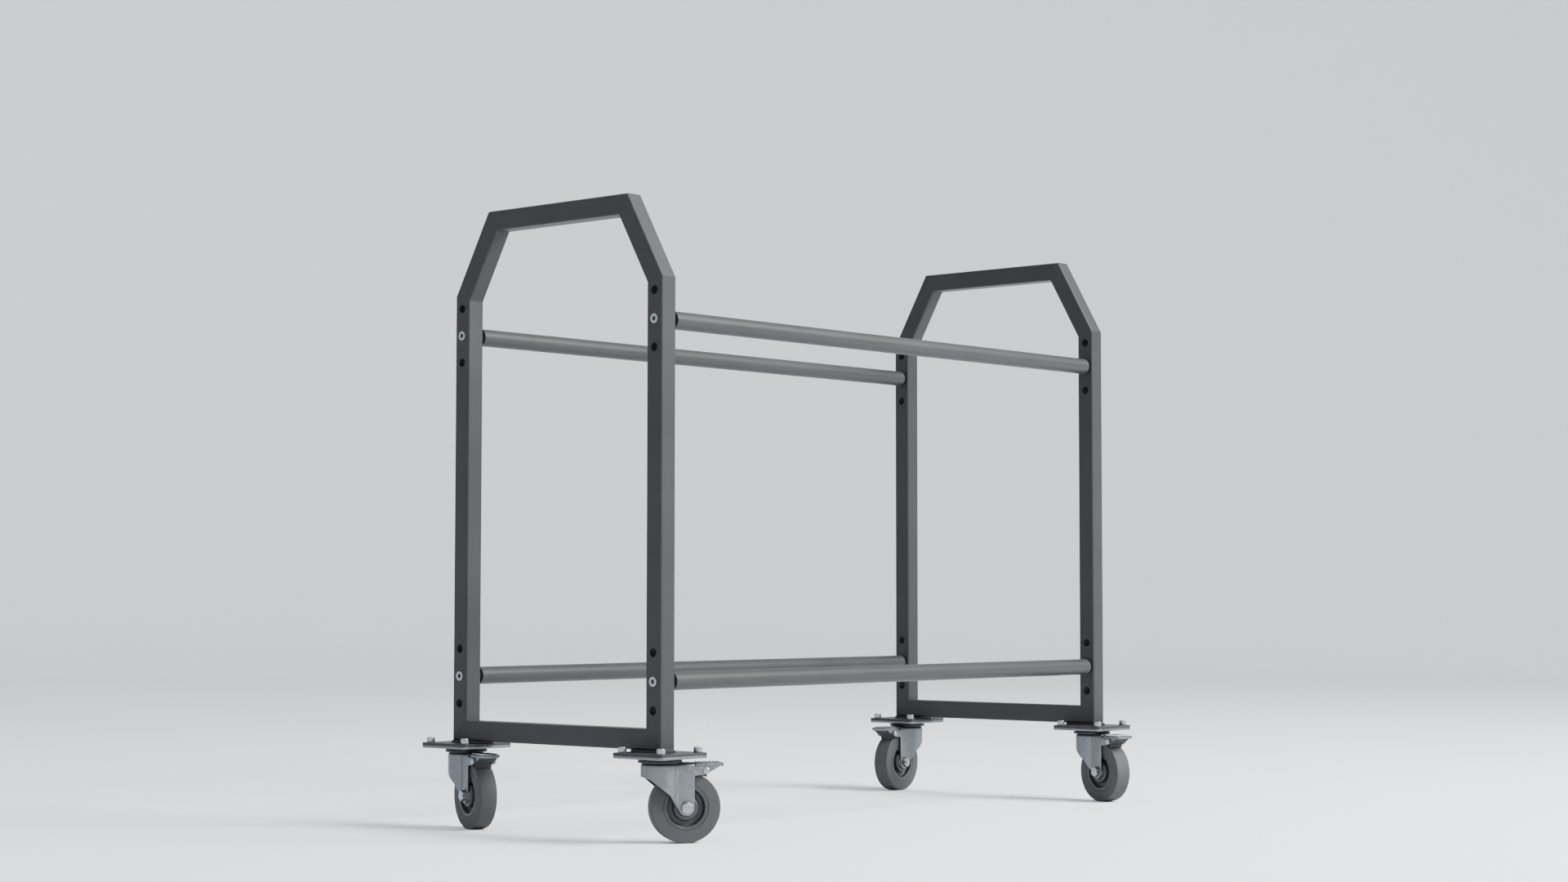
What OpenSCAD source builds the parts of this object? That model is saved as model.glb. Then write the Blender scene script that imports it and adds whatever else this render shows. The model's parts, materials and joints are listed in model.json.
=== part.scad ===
// Tyre storage rack: two welded end frames joined by four rails, on four braked swivel casters.
// X runs along the rails, Y across the rack (front is -Y) and Z up. The origin is on the floor
// at the rack's centre. Sizes are in millimetres and angles in degrees.

/* [Rack] */
// Length over the outer faces of the two end frames
rack_length = 1400; // [900:10:2000]
// Width of an end frame over its uprights
frame_width = 550; // [420:10:700]
// Height of an upright's outer face, from the frame's underside to the shoulder bend
shoulder_height = 854; // [600:2:1100]
// How far a shoulder tube climbs, from the bend to the top face
shoulder_rise = 158; // [100:1:240]
// How far a shoulder tube leans inwards over that climb
shoulder_run = 89.5; // [50:0.5:110]

/* [Square tube] */
// Outside width of the square tube
tube_size = 38; // [30:1:50]
// Wall of the square tube
tube_wall = 2.5; // [1.5:0.1:4]
// Outside corner radius of the square tube
tube_corner_r = 4; // [3:0.5:8]

/* [Rail holes] */
// Diameter of the holes across each upright
hole_d = 16; // [13:0.5:20]
// Distance from one hole to the next up an upright
hole_pitch = 52; // [30:1:70]
// Distance from the shoulder bend down to the highest hole
top_hole_drop = 25; // [24:1:60]
// Height of the lowest hole above the frame's underside
bottom_hole_height = 71; // [52:1:120]

/* [Rails] */
// Outside diameter of a rail
rail_d = 33.7; // [30:0.1:48.3]
// Wall of a rail
rail_wall = 2.6; // [1.5:0.1:4]
// Length of the threaded plug inside each rail end
plug_length = 30; // [16:1:60]
// Length of the spacer between a rail end and its upright
spacer_length = 8; // [3:0.5:20]

/* [Rail bolts] */
// Thread diameter of a rail bolt
rail_bolt_d = 12; // [8:1:12]
// How far a rail bolt reaches into its plug
rail_bolt_grip = 22; // [10:1:30]
// How far the bolt's head and the spacer reach past the edge of the hole
hole_lip = 1; // [0.5:0.25:3]
// Thickness of the flat bolt head
rail_bolt_head_h = 1.5; // [1:0.25:4]
// Width across flats of the hexagon socket
rail_bolt_socket = 8; // [4:1:8]
// Depth of the hexagon socket
rail_bolt_socket_depth = 7; // [3:0.5:12]

/* [Corner plates] */
// Side of the square plates at each corner
plate_size = 125; // [100:1:150]
// Corner radius of those plates
plate_corner_r = 10; // [4:1:16]
// Thickness of the adapter plate under the frame
adapter_t = 5; // [3:0.5:10]
// Thickness of the pad between that plate and the frame
pad_t = 4; // [2:0.5:10]
// How far the pad reaches past the tube's sides
pad_lip = 3; // [0:0.5:6]
// How far the pad stops short of the plate's inner edge
pad_setback = 6; // [2:0.5:20]
// Thickness of the caster's own top plate
plate_t = 5; // [3:0.5:8]
// Distance from a plate's edge to the screws
screw_inset = 14.5; // [10:0.5:18]
// Diameter of the plate screws
screw_d = 10; // [6:1:10]
// Diameter of their round heads
screw_head_d = 16; // [14:0.5:18]
// Height of those heads
screw_head_h = 10; // [5:0.5:12]
// Width across flats of their hexagon sockets
screw_socket = 8; // [4:1:8]

/* [Caster swivel] */
// Depth of the bearing race pressed into the top plate
race_h = 3.2; // [2:0.1:8]
// Outside diameter of that race
race_d = 68; // [60:1:72]
// Outside diameter of the swivel bearing's ring
bearing_d = 80; // [74:1:84]
// Height of the swivel bearing
bearing_h = 4.5; // [3:0.5:7]
// How far the bearing's ring reaches in over the crown's edge
bearing_seat = 3; // [2:0.5:4]
// Diameter of the ball circle
ball_circle_d = 54; // [50:1:56]
// Number of balls
ball_count = 16; // [8:1:20]
// Radial width of the cage that spaces the balls
cage_w = 3; // [1:0.1:4]
// Height of that cage
cage_h = 2; // [1:0.1:2.5]
// Diameter of the kingpin
kingpin_d = 12; // [10:1:16]
// Diameter of the flange at the kingpin's foot
kingpin_flange_d = 28; // [20:1:30]
// Thickness of that flange
kingpin_flange_t = 4; // [2:0.5:6]

/* [Caster fork] */
// Thickness of the pressed steel sheet
sheet = 3; // [2:0.5:4]
// Outside radius of the round crown
crown_r = 35; // [32:0.5:38]
// Depth of the crown's skirt at the front
skirt_h = 25; // [20:1:30]
// Distance from the swivel axis back to the axle
trail = 44.5; // [34:0.5:54]
// Radius of the leg's end around the axle
leg_end_r = 14.5; // [13:0.5:18]
// Gap between the top of the wheel and the crown
wheel_gap = 13; // [11:0.5:24]
// Gap between the wheel's side and the fork's leg
side_gap = 2.5; // [2:0.5:6]
// How far the skirt's foot slopes back from the crown's front
skirt_slope_run = 11; // [6:0.5:14]
// How far it drops over that slope
skirt_slope_drop = 4; // [1:0.5:8]
// Distance from the axle forwards to the bend in a leg's front edge
knee_lead = 31.5; // [28:0.5:36]
// Height of that bend above the axle
knee_rise = 22.5; // [18:0.5:28]
// How far an ear's root reaches below its round end
ear_root = 2; // [0:0.5:4]

/* [Caster wheel] */
// Wheel diameter over the tread
wheel_d = 128; // [104:1:154]
// Width of the tread
wheel_w = 35; // [28:0.5:42]
// Bevel at the tread's two edges
tread_bevel = 3; // [1:0.5:5]
// Thickness of the tread over the rim
tread_depth = 23; // [8:0.5:24]
// Wall of the hub's rim
rim_wall = 7; // [2:0.1:8]
// Thickness of the hub's web
web_t = 12; // [6:0.5:20]
// Diameter of the hub's boss
boss_d = 45; // [32:1:50]
// How far the boss stands out past the tread's side
boss_stand = 0.5; // [0:0.1:1.5]
// Outside diameter of the hub bearing
hub_bearing_d = 24; // [20:0.5:30]
// Gap between the hub bearing's end and the fork's leg
bush_gap = 1.2; // [0.4:0.1:2]
// Outside diameter of the sleeve that the hub bearing runs on
sleeve_d = 16; // [15:0.5:18]
// Diameter of the axle bolt
axle_d = 12; // [8:1:12]
// Width across flats of the axle's nut and head
axle_hex = 19; // [17:0.5:21]
// Thickness of the axle's nut and head
axle_hex_h = 8; // [5:0.5:12]
// How far the axle bolt shows past its nut
axle_tail = 2; // [0:0.5:5]

/* [Brake] */
// Distance from the axle back to the pedal's pivot
pivot_back = 35.5; // [34:0.5:42]
// Height of the pivot above the wheel's top
pivot_rise = 2; // [1:0.5:8]
// Diameter of the pivot pin
pivot_d = 8; // [6:0.5:9]
// Diameter of the pivot pin's two heads
pivot_head_d = 12; // [10:0.5:14]
// Thickness of those heads
pivot_head_t = 2.6; // [1.5:0.1:4]
// Radius of the ears and flanges around the pivot
ear_r = 7; // [6:0.5:8]
// Length of the pedal's tread plate behind the pivot
pedal_reach = 33; // [24:0.5:40]
// Gap between the crown's rear edge and the pedal's plate
pedal_lead = 2; // [1:0.5:6]
// How far a flange stops short of the plate's ends
flange_setback = 4; // [1:0.5:8]
// How far a flange's tip reaches down from the plate
flange_tip = 2; // [1:0.5:4]
// Depth of the lip at the plate's tip
pedal_lip = 4; // [2:0.5:8]
// Gap between a flange and its ear
flange_gap = 0.5; // [0.3:0.1:1]
// Thickness of the pedal's sheet
pedal_sheet = 2.5; // [2:0.5:3]
// Height of the pedal's underside above the pivot
pedal_rise = 11; // [8:0.5:13]
// Radius of the rounded ribs across the pedal
rib_r = 1.8; // [1:0.1:2.2]
// Distance from one rib to the next
rib_pitch = 6.5; // [5:0.5:10]
// How far a rib stops short of the plate's sides
rib_setback = 2; // [0:0.5:6]
// How far the pedal turns to put the brake on
brake_travel = 12; // [8:1:13]
// Width of the brake shoe
shoe_w = 32; // [20:1:33]
// Length of the heel that meets the tread
heel_length = 6; // [4:0.5:8]
// How far the shoe starts ahead of the pivot
shoe_lead = 3; // [1:0.5:3]
// How far the shoe stays inside the pedal's flanges
shoe_inset = 1; // [0.5:0.5:2]

/* [Caster headings] */
// Direction in which the left front caster trails, turned from +X
left_front_heading = -35; // [-180:1:180]
// Direction in which the left rear caster trails
left_rear_heading = -109; // [-180:1:180]
// Direction in which the right front caster trails
right_front_heading = -107; // [-180:1:180]
// Direction in which the right rear caster trails
right_rear_heading = -176; // [-180:1:180]

/* [Fits] */
// Radial gap of a piece held fast in its seat
snug = 0.05; // [0.02:0.01:0.1]
// Radial gap of a piece that turns on its pin
running = 0.05; // [0.02:0.01:0.1]
// Gap between two moving pieces that never touch
free_gap = 0.3; // [0.3:0.1:0.6]
// Radial clearance of a screw in its drilled hole
drill_gap = 0.5; // [0.2:0.1:1]

/* [Hidden] */
$fn = 96;

ends = ["left", "right"];
corners = ["left_front", "left_rear", "right_front", "right_rear"];
tube_names = ["base_rail", "rear_upright", "rear_shoulder", "top_rail", "front_shoulder", "front_upright"];
rail_names = ["upper_front_rail", "upper_rear_rail", "lower_front_rail", "lower_rear_rail"];
caster_pieces = ["fork", "swivel_bearing", "axle", "pedal_pivot", "tread", "hub", "hub_bearing",
                 "brake_pedal", "brake_shoe"];

// Heights in the caster, from the floor up
axle_z = wheel_d / 2;
crown_top = wheel_d + wheel_gap + sheet;
bearing_top = crown_top + bearing_h;
race_bottom = bearing_top + free_gap;
plate_bottom = race_bottom + race_h;
adapter_bottom = plate_bottom + plate_t;
adapter_top = adapter_bottom + adapter_t;
base_z = adapter_top + pad_t;

// Places of the frames, uprights, rails and their bolts
frame_height = shoulder_height + shoulder_rise;
end_x = rack_length / 2 - tube_size / 2;
upright_y = frame_width / 2 - tube_size / 2;
upper_rail_height = shoulder_height - top_hole_drop - hole_pitch;
lower_rail_height = bottom_hole_height + hole_pitch;
rail_end_x = end_x - tube_size / 2 - spacer_length;
rail_bolt_head_d = hole_d + 2 * hole_lip;
hole_heights = [for (middle = [upper_rail_height, lower_rail_height])
                for (step = [-1, 0, 1]) middle + step * hole_pitch];

// Places in the caster, measured back from the swivel axis
leg_inside = wheel_w / 2 + side_gap;
leg_outside = leg_inside + sheet;
fork_rear = trail + leg_end_r;
pivot_x = trail + pivot_back;
pivot_z = wheel_d + pivot_rise;
pedal_front = fork_rear + pedal_lead;
pedal_tip = pivot_x + pedal_reach;
pedal_z = pivot_z + pedal_rise;
rim_r = wheel_d / 2 - tread_depth;

headings = [left_front_heading, left_rear_heading, right_front_heading, right_rear_heading];
cut = 1; // how far a cutting solid runs past the face it cuts

// ---------- shared shapes ----------

// A square with round corners, centred
module rounded_square(size, r) {
    square([size, size - 2 * r], center = true);
    square([size - 2 * r, size], center = true);
    for (x = [-1, 1], y = [-1, 1])
        translate([x * (size / 2 - r), y * (size / 2 - r)]) circle(r);
}

// A rectangle with round corners, centred across X and running back from Y = 0
module rounded_strip(width, length, r) {
    translate([r - width / 2, 0]) square([width - 2 * r, length]);
    translate([-width / 2, r]) square([width, length - 2 * r]);
    for (x = [-1, 1], y = [r, length - r])
        translate([x * (width / 2 - r), y]) circle(r);
}

// A round ring standing on its lower face
module ring(outer_r, inner_r, h) {
    difference() {
        cylinder(r = outer_r, h = h);
        translate([0, 0, -cut]) cylinder(r = inner_r, h = h + 2 * cut);
    }
}

// A hexagon prism, given its width across flats
module hexagon(flats, h) {
    cylinder(r = flats / 2 / cos(30), h = h, $fn = 6);
}

// A side-view outline (x, z) given a thickness across Y, centred on the caster's middle plane
module across(width) {
    rotate([90, 0, 0]) linear_extrude(width, center = true) children();
}

// A round bar across the caster through the point (x, z)
module cross_bar(x, z, r, width) {
    translate([x, 0, z]) rotate([90, 0, 0]) cylinder(r = r, h = width, center = true);
}

// A copy at each of the four corners, on the upright's axis
module at_corners() {
    for (x = [-end_x, end_x], y = [-upright_y, upright_y]) translate([x, y, 0]) children();
}

// A copy at each of the eight rail ends, with +Z pointing out of the rack along the rail
module at_rail_ends() {
    for (side = [-1, 1], y = [-upright_y, upright_y], height = [upper_rail_height, lower_rail_height])
        translate([side * rail_end_x, y, base_z + height]) rotate([0, side * 90, 0]) children();
}

// A copy at each of the sixteen plate screws, at the floor
module at_plate_screws() {
    reach = plate_size / 2 - screw_inset;
    at_corners() for (x = [-reach, reach], y = [-reach, reach]) translate([x, y, 0]) children();
}

// One caster's place: its swivel axis on Z and its trail along +X
module at_caster(c) {
    side = c < 2 ? -1 : 1;
    depth = c % 2 == 0 ? -1 : 1;
    translate([side * end_x, depth * upright_y, 0]) rotate(headings[c]) children();
}

// ---------- end frames ----------

// Outer corners of an end frame in its own plane (across, up), anticlockwise from the front foot
outline = [
    [-frame_width / 2, 0],
    [frame_width / 2, 0],
    [frame_width / 2, shoulder_height],
    [frame_width / 2 - shoulder_run, frame_height],
    [shoulder_run - frame_width / 2, frame_height],
    [-frame_width / 2, shoulder_height]
];

function corner_at(i) = outline[(i + len(outline)) % len(outline)];
function side_length(i) = norm(corner_at(i + 1) - corner_at(i));
function side_direction(i) = (corner_at(i + 1) - corner_at(i)) / side_length(i);
function inward(i) = [-side_direction(i)[1], side_direction(i)[0]];

// The mitre at corner i: from the outer corner to the inner one
function mitre(i) = tube_size * (inward(i - 1) + inward(i)) / (1 + inward(i - 1) * inward(i));

// Everything between the mitres at the two ends of side i
module between_mitres(i) {
    linear_extrude(2 * tube_size, center = true)
        polygon([
            corner_at(i) - mitre(i) / 2,
            corner_at(i + 1) - mitre(i + 1) / 2,
            corner_at(i + 1) + 1.5 * mitre(i + 1),
            corner_at(i) + 1.5 * mitre(i)
        ]);
}

// The tube along side i, before its ends are mitred
module square_tube(i) {
    middle = (corner_at(i) + corner_at(i + 1)) / 2 + inward(i) * tube_size / 2;
    heading = atan2(side_direction(i)[1], side_direction(i)[0]);
    translate([middle[0], middle[1], 0]) rotate([0, 90, heading])
        linear_extrude(side_length(i) + 2 * tube_size, center = true) difference() {
            rounded_square(tube_size, tube_corner_r);
            rounded_square(tube_size - 2 * tube_wall, tube_corner_r - tube_wall);
        }
}

// The holes up both uprights
module upright_holes() {
    for (y = [-upright_y, upright_y], height = hole_heights)
        translate([y, height, 0]) cylinder(d = hole_d, h = 2 * tube_size, center = true);
}

module frame_tube(end, i) {
    color("dimgray") translate([end == 0 ? -end_x : end_x, 0, base_z]) rotate([90, 0, 90])
        difference() {
            intersection() {
                square_tube(i);
                between_mitres(i);
            }
            if (i == 1 || i == 5) upright_holes();
        }
}

// ---------- rails and what holds them ----------

module rail(i) {
    height = i < 2 ? upper_rail_height : lower_rail_height;
    depth = i % 2 == 0 ? -1 : 1;
    color("gray") translate([-rail_end_x, depth * upright_y, base_z + height]) rotate([0, 90, 0])
        ring(rail_d / 2, rail_d / 2 - rail_wall, 2 * rail_end_x);
}

module rail_end_plugs() {
    color("darkgray") at_rail_ends() translate([0, 0, -plug_length])
        ring(rail_d / 2 - rail_wall - snug, rail_bolt_d / 2 + snug, plug_length);
}

// Spacers, on which the inner faces of the uprights bear
module rail_spacers() {
    color("silver") at_rail_ends() ring(rail_bolt_head_d / 2, rail_bolt_d / 2 + snug, spacer_length);
}

// Shoulder bolts: a thread in the plug, a shoulder filling the upright's hole and a flat head outside
module rail_bolts() {
    head_z = spacer_length + tube_size;
    color("silver") at_rail_ends() difference() {
        union() {
            translate([0, 0, -rail_bolt_grip]) cylinder(d = rail_bolt_d, h = rail_bolt_grip + head_z);
            translate([0, 0, spacer_length]) cylinder(r = hole_d / 2 - snug, h = tube_size + cut);
            translate([0, 0, head_z]) cylinder(d = rail_bolt_head_d, h = rail_bolt_head_h);
        }
        translate([0, 0, head_z + rail_bolt_head_h - rail_bolt_socket_depth])
            hexagon(rail_bolt_socket, rail_bolt_socket_depth + cut);
    }
}

// ---------- corner plates ----------

// Pads that lift the frame's feet clear of the screw heads, from the frame's end inwards
module foot_pads() {
    length = tube_size / 2 + plate_size / 2 + pad_lip - pad_setback;
    color("dimgray") for (x = [-end_x, end_x], side = [-1, 1])
        translate([x, side * (frame_width / 2 + pad_lip), adapter_top]) rotate(side < 0 ? 0 : 180)
            linear_extrude(pad_t) rounded_strip(tube_size + 2 * pad_lip, length, tube_corner_r + pad_lip);
}

module adapter_plates() {
    color("lightslategray") difference() {
        at_corners() translate([0, 0, adapter_bottom])
            linear_extrude(adapter_t) rounded_square(plate_size, plate_corner_r);
        at_plate_screws() translate([0, 0, adapter_bottom - cut])
            cylinder(r = screw_d / 2 + drill_gap, h = adapter_t + 2 * cut);
    }
}

// The caster's top plate, with the bearing race pressed down out of it around the kingpin
module caster_plates() {
    color("lightslategray") difference() {
        at_corners() {
            translate([0, 0, plate_bottom])
                linear_extrude(plate_t) rounded_square(plate_size, plate_corner_r);
            translate([0, 0, race_bottom]) cylinder(d = race_d, h = race_h + plate_t / 2);
        }
        at_corners() translate([0, 0, race_bottom - cut])
            cylinder(r = kingpin_d / 2 + snug, h = race_h + plate_t + 2 * cut);
        at_plate_screws() translate([0, 0, plate_bottom - cut])
            cylinder(r = screw_d / 2 + snug, h = plate_t + 2 * cut);
    }
}

// Round-headed screws from above, threaded into the caster plate and flush with its underside
module plate_screws() {
    color("silver") at_plate_screws() difference() {
        union() {
            translate([0, 0, plate_bottom]) cylinder(d = screw_d, h = plate_t + adapter_t + cut);
            translate([0, 0, adapter_top]) cylinder(d = screw_head_d, h = screw_head_h);
        }
        translate([0, 0, adapter_top + screw_head_h / 2]) hexagon(screw_socket, screw_head_h / 2 + cut);
    }
}

// Kingpins: riveted in the caster plate, with a flange that carries the crown from below
module kingpins() {
    flange_top = crown_top - sheet - free_gap;
    color("darkgray") at_corners() {
        translate([0, 0, flange_top - kingpin_flange_t])
            cylinder(d = kingpin_flange_d, h = kingpin_flange_t);
        translate([0, 0, flange_top - cut]) cylinder(d = kingpin_d, h = adapter_bottom - flange_top + cut);
    }
}

// ---------- caster: fork, bearing, axle and pivot ----------

// Plan of the fork: a round crown that runs back into two flat sides
module fork_plan(r, half_width, rear) {
    circle(r);
    translate([0, -half_width]) square([rear, 2 * half_width]);
}

// Where a line from the point at (x, z) from the centre of a circle touches it, on the lower side
function tangent_point(x, z, r) =
    let (turn = atan2(z, x) + acos(r / norm([x, z])))
    r * [cos(turn), sin(turn)];

// Side view of the crown and a leg, round at its end and sloping forwards up to the skirt
module leg_outline() {
    touch = tangent_point(-knee_lead, knee_rise, leg_end_r);
    skirt_z = crown_top - skirt_h;
    polygon([
        [-crown_r - cut, crown_top + cut],
        [-crown_r - cut, skirt_z],
        [-crown_r + skirt_slope_run, skirt_z - skirt_slope_drop],
        [trail - knee_lead, axle_z + knee_rise],
        [trail + touch[0], axle_z + touch[1]],
        [trail, axle_z],
        [fork_rear, axle_z],
        [fork_rear, crown_top + cut]
    ]);
    translate([trail, axle_z]) circle(leg_end_r);
}

// Side view of an ear, which carries the pedal's pivot behind the fork
module ear_outline() {
    polygon([
        [fork_rear - cut, crown_top - sheet],
        [pivot_x, pivot_z + ear_r],
        [pivot_x, pivot_z - ear_r],
        [fork_rear - cut, pivot_z - ear_r - ear_root]
    ]);
    translate([pivot_x, pivot_z]) circle(ear_r);
}

module fork(c) {
    color("slategray") at_caster(c) difference() {
        union() {
            intersection() {
                linear_extrude(crown_top) fork_plan(crown_r, leg_outside, fork_rear + cut);
                across(2 * (crown_r + cut)) leg_outline();
            }
            across(2 * leg_outside) ear_outline();
        }
        translate([0, 0, -cut]) linear_extrude(crown_top - sheet + cut)
            fork_plan(crown_r - sheet, leg_inside, pivot_x + ear_r + cut);
        cylinder(r = kingpin_d / 2 + running, h = crown_top + cut);
        cross_bar(trail, axle_z, axle_d / 2 + snug, 2 * leg_outside + 2 * cut);
        cross_bar(pivot_x, pivot_z, pivot_d / 2 + snug, 2 * leg_outside + 2 * cut);
    }
}

// Ring, ball cage and balls that turn between the crown and the plate's race
module swivel_bearing(c) {
    ball_r = bearing_h / 2;
    ball_circle_r = ball_circle_d / 2;
    color("darkslategray") at_caster(c) translate([0, 0, crown_top]) {
        ring(bearing_d / 2, crown_r - bearing_seat, bearing_h);
        translate([0, 0, ball_r - cage_h / 2])
            ring(ball_circle_r + cage_w / 2, ball_circle_r - cage_w / 2, cage_h);
        for (i = [0 : ball_count - 1]) rotate(i * 360 / ball_count)
            translate([ball_circle_r, 0, ball_r]) sphere(ball_r, $fn = 24);
    }
}

// Axle bolt, its nut, and the sleeve clamped between the legs
module axle(c) {
    shank = cut + 2 * leg_outside + axle_hex_h + axle_tail;
    color("silver") at_caster(c) translate([trail, 0, axle_z]) rotate([90, 0, 0]) {
        translate([0, 0, -leg_outside - axle_hex_h]) hexagon(axle_hex, axle_hex_h);
        translate([0, 0, -leg_outside - cut]) cylinder(d = axle_d, h = shank);
        difference() {
            translate([0, 0, leg_outside]) hexagon(axle_hex, axle_hex_h);
            translate([0, 0, leg_outside - cut]) cylinder(r = axle_d / 2 + snug, h = axle_hex_h + 2 * cut);
        }
        translate([0, 0, -leg_inside]) ring(sleeve_d / 2, axle_d / 2 + snug, 2 * leg_inside);
    }
}

// Pin with a head on each side, through the ears and the pedal
module pedal_pivot(c) {
    color("silver") at_caster(c) {
        cross_bar(pivot_x, pivot_z, pivot_d / 2, 2 * leg_outside + 2 * cut);
        for (side = [-1, 1]) translate([pivot_x, side * (leg_outside + pivot_head_t / 2), pivot_z])
            rotate([90, 0, 0]) cylinder(d = pivot_head_d, h = pivot_head_t, center = true);
    }
}

// ---------- caster: wheel ----------

// Turns a half section (radius, width) into a solid around the axle
module on_axle(c) {
    at_caster(c) translate([trail, 0, axle_z]) rotate([90, 0, 0]) rotate_extrude() children();
}

module tread(c) {
    r = wheel_d / 2;
    half = wheel_w / 2;
    color("gray") on_axle(c) polygon([
        [rim_r, -half],
        [r - tread_bevel, -half],
        [r, -half + tread_bevel],
        [r, half - tread_bevel],
        [r - tread_bevel, half],
        [rim_r, half]
    ]);
}

// Rim, web and boss in one moulding
module hub(c) {
    boss_w = wheel_w + 2 * boss_stand;
    color("darkgray") on_axle(c) difference() {
        union() {
            translate([rim_r - snug - rim_wall, -wheel_w / 2]) square([rim_wall, wheel_w]);
            translate([0, -web_t / 2]) square([rim_r - snug - rim_wall / 2, web_t]);
            translate([0, -boss_w / 2]) square([boss_d / 2, boss_w]);
        }
        translate([0, -boss_w]) square([hub_bearing_d / 2 + snug, 2 * boss_w]);
    }
}

// Plain bearing bush, a little longer than the boss
module hub_bearing(c) {
    bush_w = 2 * (leg_inside - bush_gap);
    color("dimgray") on_axle(c) translate([sleeve_d / 2 + running, -bush_w / 2])
        square([hub_bearing_d / 2 - sleeve_d / 2 - running, bush_w]);
}

// ---------- caster: brake ----------

// Side view of the pedal's flanges: round at the pivot, running out to the plate's tip
module flange_outline() {
    front = pedal_front + flange_setback / 2;
    tip = pedal_tip - flange_setback;
    top = pedal_z + pedal_sheet / 2;
    polygon([
        [front, top],
        [front, pivot_z + ear_r / 2],
        [pivot_x, pivot_z - ear_r],
        [pivot_x + ear_r, pivot_z - ear_r / 2],
        [tip, pedal_z - flange_tip],
        [tip, top]
    ]);
    translate([pivot_x, pivot_z]) circle(ear_r);
}

// Ribbed tread plate with a flange down each side and a lip at its tip
module brake_pedal(c) {
    half = leg_inside - flange_gap;
    reach = pedal_tip - pedal_front;
    rib_count = floor(reach / rib_pitch);
    rib_w = 2 * (half - rib_setback);
    color("lightslategray") at_caster(c) difference() {
        union() {
            translate([pedal_front, -half, pedal_z]) cube([reach, 2 * half, pedal_sheet]);
            translate([pedal_tip - pedal_sheet, -half, pedal_z - pedal_lip])
                cube([pedal_sheet, 2 * half, pedal_lip + pedal_sheet / 2]);
            for (i = [1 : rib_count - 1])
                cross_bar(pedal_front + i * rib_pitch, pedal_z + pedal_sheet, rib_r, rib_w);
            difference() {
                across(2 * half) flange_outline();
                translate([pedal_front - cut, -half + pedal_sheet, 0])
                    cube([reach + 2 * cut, 2 * (half - pedal_sheet), pedal_z]);
            }
        }
        cross_bar(pivot_x, pivot_z, pivot_d / 2 + running, 2 * half + 2 * cut);
    }
}

// Where the axle lies as seen from the pressed pedal, given its place (x, z) from the pivot
function pressed(x, z) = [
    x * cos(brake_travel) - z * sin(brake_travel),
    x * sin(brake_travel) + z * cos(brake_travel)
];

// Side view of the shoe: it fills the pedal's channel, with a heel that reaches down to the tread
module shoe_outline() {
    front = pivot_x - shoe_lead;
    tip = pedal_tip - flange_setback - shoe_inset;
    polygon([
        [front, pedal_z],
        [front, axle_z],
        [front + heel_length, axle_z],
        [front + heel_length, pivot_z - ear_r + shoe_inset],
        [pivot_x + ear_r, pivot_z - ear_r / 2 + shoe_inset],
        [tip, pedal_z - flange_tip + shoe_inset],
        [tip, pedal_z]
    ]);
}

// Block in the pedal's channel, its heel hollowed to meet the tread when the pedal is down
module brake_shoe(c) {
    axle = pressed(-pivot_back, axle_z - pivot_z);
    color("black") at_caster(c) difference() {
        across(shoe_w) shoe_outline();
        cross_bar(pivot_x + axle[0], pivot_z + axle[1], wheel_d / 2 + free_gap, shoe_w + 2 * cut);
        cross_bar(pivot_x, pivot_z, pivot_d / 2 + running, shoe_w + 2 * cut);
    }
}

// ---------- what is drawn ----------

for (end = [0, 1], i = [0 : len(tube_names) - 1])
    frame_tube(end, i);
for (i = [0 : len(rail_names) - 1])
    rail(i);
rail_end_plugs();
rail_spacers();
rail_bolts();
foot_pads();
adapter_plates();
caster_plates();
plate_screws();
kingpins();
for (c = [0 : len(corners) - 1]) {
    fork(c);
    swivel_bearing(c);
    axle(c);
    pedal_pivot(c);
    tread(c);
    hub(c);
    hub_bearing(c);
    brake_pedal(c);
    brake_shoe(c);
}
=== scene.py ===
import json
from math import atan2, cos, hypot, inf, pi, radians, sin

import bmesh
import bpy
import numpy as np
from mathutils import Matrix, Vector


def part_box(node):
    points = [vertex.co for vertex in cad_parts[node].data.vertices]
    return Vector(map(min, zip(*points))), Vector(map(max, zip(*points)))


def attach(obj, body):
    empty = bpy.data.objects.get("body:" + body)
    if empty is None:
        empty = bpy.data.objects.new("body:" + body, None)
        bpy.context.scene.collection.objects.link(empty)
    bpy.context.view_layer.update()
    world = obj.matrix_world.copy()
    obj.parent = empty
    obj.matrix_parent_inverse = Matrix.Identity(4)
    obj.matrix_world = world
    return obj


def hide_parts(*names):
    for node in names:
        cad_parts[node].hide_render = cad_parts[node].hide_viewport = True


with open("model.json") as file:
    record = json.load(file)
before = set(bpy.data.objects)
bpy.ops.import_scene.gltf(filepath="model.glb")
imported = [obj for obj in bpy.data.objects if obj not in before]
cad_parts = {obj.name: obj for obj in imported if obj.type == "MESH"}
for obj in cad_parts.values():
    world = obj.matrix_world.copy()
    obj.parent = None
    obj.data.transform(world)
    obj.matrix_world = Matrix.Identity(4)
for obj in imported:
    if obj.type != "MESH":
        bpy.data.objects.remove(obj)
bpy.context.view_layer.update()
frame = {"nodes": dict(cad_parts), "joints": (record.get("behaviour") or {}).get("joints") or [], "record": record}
nodes = frame["nodes"]
joints = {joint["name"]: joint for joint in frame["joints"]}
slotOf = {part["node"]: part["material_slot"] for part in frame["record"]["subparts"]}
corners = ("left_front", "left_rear", "right_front", "right_rear")
mm = 0.001               # shapes are worked out in millimetres and stored in metres
print("frame loaded:", len(nodes), "nodes")


# sRGB hex to the linear colour that a shader reads
def linear(hexColour):
    parts = np.array([int(hexColour[i:i + 2], 16) / 255 for i in (1, 3, 5)])
    parts = np.where(parts <= 0.04045, parts / 12.92, ((parts + 0.055) / 1.055) ** 2.4)
    return (*parts, 1.0)


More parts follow.
